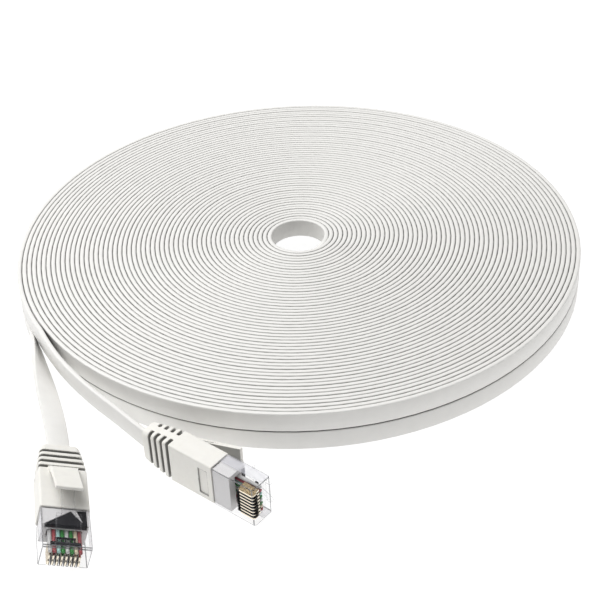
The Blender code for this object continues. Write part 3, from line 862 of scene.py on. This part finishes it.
def boot_mesh():
    """The soft moulding with its grooves, its socket for the plug and its channel for the cable."""
    cutters = groove_cutters()
    cutters += [block(name, *box) for name, box in
                (("socket", SOCKET), ("channel", CHANNEL), ("recess", RECESS))]
    mesh = softened(combined(boot_shell(), cutters), BOOT_VOXEL, 2, 0.5)
    mark_painted_shade(mesh, boot_shell())
    return mesh


def mark_painted_shade(mesh, skin):
    """Gives the painted shade material to the faces inside the grooves and to the walls of the shallow
    recess.
    """
    holder = bmesh.new()
    holder.from_mesh(skin)
    tree = BVHTree.FromBMesh(holder)
    holder.free()
    for face in mesh.polygons:
        x, y, z = face.center / MM
        distance = tree.find_nearest(face.center)[3] / MM
        in_groove = x < GROOVES_BEHIND and distance > GROOVE_SHADE_DEPTH
        beside = max(RECESS[0][0] - x, x - RECESS[1][0], RECESS[0][1] - y, y - RECESS[1][1])
        on_recess_edge = abs(beside) < RECESS_PAINTED_SHADE_LINE and z < RECESS[1][2]
        face.material_index = int(in_groove or on_recess_edge)


def tongue_mesh():
    """The snagless tongue: a thick root that runs into the boot, and a flap that rises forward."""
    mesh = prism("tongue", rounded(TONGUE_PROFILE, 0.0), -TONGUE_HALF_WIDTH, TONGUE_HALF_WIDTH)
    for vertex in mesh.vertices:
        narrowing = eased((vertex.co.x / MM - TONGUE_NARROWS_FROM) / TONGUE_NARROWS_OVER)
        vertex.co.y *= 1.0 - TONGUE_NARROWING * narrowing
    mesh = softened(mesh, TONGUE_VOXEL, 3, 0.6)
    # Painted shade on the faces of the flap that look down
    for face in mesh.polygons:
        faces_down = face.normal.z < -0.6
        face.material_index = int(faces_down and face.center.x > TONGUE_PAINTED_SHADE_START * MM)
    return mesh


# Plug


def contact_place(index):
    """How far across the plug a contact is, in mm."""
    return (index - (CONTACT_COUNT - 1) / 2) * CONTACT_PITCH / MM


def split_level(mesh, height):
    """The mesh with its faces divided at this height in mm."""
    shape = bmesh.new()
    shape.from_mesh(mesh)
    everything = [*shape.verts, *shape.edges, *shape.faces]
    level = (0.0, 0.0, height * MM)
    bmesh.ops.bisect_plane(shape, geom=everything, plane_co=level, plane_no=(0.0, 0.0, 1.0))
    shape.to_mesh(mesh)
    shape.free()
    return mesh


def plug_mesh():
    """The clear body: nose block, rear spigot, rooms for sleeve and wires, and a comb of contact slots."""
    half = PLUG_WIDTH / MM / 2
    plate = prism("plug_body", rounded(PLUG_PROFILE, 0.0), -half, half)
    body = bevelled(plate, 0.2, 2, 40.0, edge_index=EDGE_FACES)
    spigot = bevelled(block("spigot", *SPIGOT), 0.3, 2)
    body = combined(body, [spigot], "UNION")
    cutters = [block(name, *box) for name, box in
               (("cable_room", CABLE_ROOM), ("sleeve_room", SLEEVE_ROOM), ("wire_room", WIRE_ROOM))]
    for index in range(CONTACT_COUNT):
        left = contact_place(index) - SLOT_HALF_WIDTH
        right = contact_place(index) + SLOT_HALF_WIDTH
        cutters.append(block("slot", (SLOT_START, left, -1.0), (SLOT_END, right, SLOT_TOP)))
        cutters.append(block(
            "blade_room", (SLOT_START, left, SLOT_TOP - 0.1), (BLADE_ROOM_END, right, BLADE_ROOM_TOP)
        ))
    body = flattened(split_level(combined(body, cutters), CLOUDED_ABOVE))
    for face in body.polygons:
        x, y, z = face.center / MM
        sideways = abs(face.normal.y)
        among_slots = x > SLOT_START + 0.05 and abs(y) < SLOTS_REACH and 0.02 < z < SLOT_TOP
        # The walls between the contacts are painted black as shade
        if among_slots and sideways > 0.9:
            face.material_index = SLOT_FACES
        if sideways > 0.99 and abs(y) > half - 0.05 and z > CLOUDED_ABOVE:
            face.material_index = SIDE_FACES
        if x < PLAIN_BEHIND:
            face.material_index = 0
    return body


def latch_mesh():
    """The latch, with a root that runs down into the plug's nose."""
    mesh = prism("latch", rounded(LATCH_PROFILE, 0.0), -LATCH_HALF_WIDTH, LATCH_HALF_WIDTH)
    sides = [block("side", *box) for box in LATCH_SIDES]
    return bevelled(combined(mesh, sides), 0.14, 2, edge_index=EDGE_FACES)


def contact_mesh():
    """A stamped blade whose working edge is rounded."""
    half = CONTACT_THICKNESS / MM / 2
    blade = bevelled(prism("contact", rounded(BLADE_PROFILE, 0.15, 6), -half, half), 0.05, 2, 60.0)
    for face in blade.polygons:
        # Painted shade: the broad faces take the darker gold
        face.material_index = int(abs(face.normal.y) > 0.9)
    return blade


def wire_mesh():
    """One conductor in its insulation, from inside the sleeve to the nose."""
    lie_down = Matrix.Rotation(math.pi / 2, 4, "Y")
    middle = Matrix.Translation(((WIRE_START + WIRE_END) / 2, 0.0, WIRE_LEVEL))
    shape = bmesh.new()
    bmesh.ops.create_cone(
        shape, cap_ends=True, segments=20, radius1=WIRE_DIAMETER / 2, radius2=WIRE_DIAMETER / 2,
        depth=WIRE_END - WIRE_START, matrix=middle @ lie_down,
    )
    return bevelled(mesh_from("wire", shape), 0.12, 2)


def comb_mesh():
    """The dark comb over the conductors: a wide bar, a narrow bar and the ribs between them."""
    bars = [block("narrow", *COMB_NARROW_BAR)]
    for rank in range(-2, 3):
        y = rank * CONTACT_PITCH / MM
        low = (RIB_START, y - RIB_HALF_WIDTH, COMB_LOW)
        high = (RIB_END, y + RIB_HALF_WIDTH, COMB_HIGH)
        bars.append(block("rib", low, high))
    return bevelled(combined(block("wide", *COMB_WIDE_BAR), bars, "UNION"), 0.06, 2)


def wedge_mesh():
    """The dark wedge, a gable seen from above."""
    outline = rounded(WEDGE_OUTLINE, 0.08)
    return bevelled(prism("wedge", outline, *WEDGE_LEVELS, "xy"), 0.08, 2)


def sleeve_mesh():
    """The pale sleeve round the jacket, with a pocket for the wedge."""
    low = [value + SLEEVE_GAP for value in SLEEVE_ROOM[0]]
    high = [value - SLEEVE_GAP for value in SLEEVE_ROOM[1]]
    cutters = [
        block("bore", *SLEEVE_BORE),
        prism("pocket", WEDGE_POCKET, *POCKET_LEVELS, "xy"),
    ]
    return bevelled(combined(block("sleeve", low, high), cutters), 0.1, 2)


def plug_matrix(tag):
    """From a plug's own axes to the frame."""
    (x, y, z), heading, lift, roll = PLUG_PLACES[tag]
    turn = Euler((math.radians(-roll), math.radians(-lift), math.radians(heading)))
    return Matrix.Translation(COIL_CENTRE + Vector((x, y, z)) * MM) @ turn.to_matrix().to_4x4()


def place_piece(name, mesh, materials, matrix, slot, *nodes, body="root"):
    """A finished piece at its place that stands for its CAD nodes."""
    copy = mesh.copy()
    indices = [face.material_index for face in copy.polygons]
    copy.materials.clear()
    for material in materials:
        copy.materials.append(material)
    if len(materials) > 1:
        copy.polygons.foreach_set("material_index", indices)
    piece = new_object(name, copy, matrix)
    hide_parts(*nodes)
    if body == "root":
        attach(piece, body)
    return piece


def make_plug(tag, meshes):
    """One boot and plug with everything in it, placed at this cable end; returns its pieces."""
    matrix = plug_matrix(tag)
    fixed = (
        ("boot", (BOOT_VINYL, BOOT_PAINTED_SHADE), "boot_vinyl", "boot"),
        ("plug", (CLEAR, CLEAR_PAINTED_EDGE_SHADE, CLEAR_SLOT_PAINTED_SHADE, CLEAR_SIDE), "clear_plastic", "plug_body"),
        ("comb", (DARK,), "dark_plastic", "load_bar"),
        ("wedge", (DARK,), "dark_plastic", "strain_wedge"),
        ("sleeve", (PALE,), "pale_plastic", "cable_sleeve"),
    )
    pieces = [
        place_piece(f"{kind}_mesh_{tag}", meshes[kind], materials, matrix, slot, f"{node}_{tag}")
        for kind, materials, slot, node in fixed
    ]
    # Each moving piece is listed with two places along the plug and one height, in mm, which nothing here
    # reads.
    moving = (
        ("tongue", (BOOT_VINYL, TONGUE_PAINTED_SHADE), "boot_vinyl", "boot_tab", "tab", -14.2, -11.6, 7.4),
        ("latch", (CLEAR_LATCH, CLEAR_LATCH_PAINTED_EDGE_SHADE), "clear_plastic", "latch", "latch", 13.0, 11.5, 7.0),
    )
    for kind, materials, slot, node, body, start, end, height in moving:
        piece = place_piece(
            f"{kind}_mesh_{tag}", meshes[kind], materials, matrix, slot, f"{node}_{tag}", body=body
        )
        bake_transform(piece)
        pieces.append(piece)
    for index in range(CONTACT_COUNT):
        shifted = matrix @ Matrix.Translation((0.0, contact_place(index) * MM, 0.0))
        number = index + 1
        colour = WIRE_ORDER[index]
        pieces.append(place_piece(
            f"blade_{tag}_{number}", meshes["contact"], (GOLD, GOLD_PAINTED_SHADE), shifted, "gold",
            f"contact_{tag}_{number}",
        ))
        pieces.append(place_piece(
            f"conductor_{tag}_{number}", meshes["wire"], (INSULATION[colour],), shifted,
            "wire_" + colour, f"wire_{tag}_{number}",
        ))
    return pieces


# Stage


def make_floor():
    """A wide white floor that glows a little, so that it stays white under the coil's own shadow."""
    mesh = bpy.data.meshes.new("floor")
    shape = bmesh.new()
    bmesh.ops.create_grid(shape, x_segments=1, y_segments=1, size=FLOOR_HALF_SIZE)
    shape.to_mesh(mesh)
    shape.free()
    floor = new_object("floor", mesh)
    made, _, _, shader = node_material("floor_white")
    shader.inputs["Base Color"].default_value = (FLOOR_GREY, FLOOR_GREY, FLOOR_GREY, 1.0)
    shader.inputs["Roughness"].default_value = 0.9
    shader.inputs["Emission Color"].default_value = (1.0, 1.0, 1.0, 1.0)
    shader.inputs["Emission Strength"].default_value = FLOOR_GLOW
    mesh.materials.append(made)


def make_softbox(name, place, size, power):
    """A rectangular light that faces the frame's origin."""
    data = bpy.data.lights.new(name, "AREA")
    data.shape = "RECTANGLE"
    data.size, data.size_y = size
    data.energy = power
    light = bpy.data.objects.new(name, data)
    bpy.context.scene.collection.objects.link(light)
    light.location = place
    light.rotation_euler = (-Vector(place)).to_track_quat("-Z", "Y").to_euler()


def make_world():
    """Even white surroundings."""
    world = bpy.data.worlds.new("studio")
    world.use_nodes = True
    background = world.node_tree.nodes["Background"]
    background.inputs["Color"].default_value = (1.0, 1.0, 1.0, 1.0)
    background.inputs["Strength"].default_value = WORLD_STRENGTH
    bpy.context.scene.world = world


def make_camera():
    """The camera, looking down at the coil from the near side, with a small roll."""
    data = bpy.data.cameras.new("camera")
    data.lens = CAMERA_LENS
    data.sensor_width = CAMERA_SENSOR
    data.clip_start = 0.01
    data.clip_end = 20.0
    camera = bpy.data.objects.new("camera", data)
    bpy.context.scene.collection.objects.link(camera)
    tilt = Matrix.Rotation(math.radians(90.0 - CAMERA_DROP), 4, "X")
    roll = Matrix.Rotation(math.radians(CAMERA_ROLL), 4, "Z")
    camera.matrix_world = Matrix.Translation(COIL_CENTRE + CAMERA_PLACE) @ tilt @ roll
    bpy.context.scene.camera = camera


make_camera()
make_world()
for softbox in SOFTBOXES:
    make_softbox(*softbox)
make_floor()
bpy.context.scene.view_settings.view_transform = "Standard"

cable, cable_points, cable_length = make_cable()
MESHES = {
    "boot": boot_mesh(),
    "tongue": tongue_mesh(),
    "plug": plug_mesh(),
    "latch": latch_mesh(),
    "contact": contact_mesh(),
    "wire": wire_mesh(),
    "comb": comb_mesh(),
    "wedge": wedge_mesh(),
    "sleeve": sleeve_mesh(),
}
make_plug("a", MESHES)
plug_b_pieces = make_plug("b", MESHES)
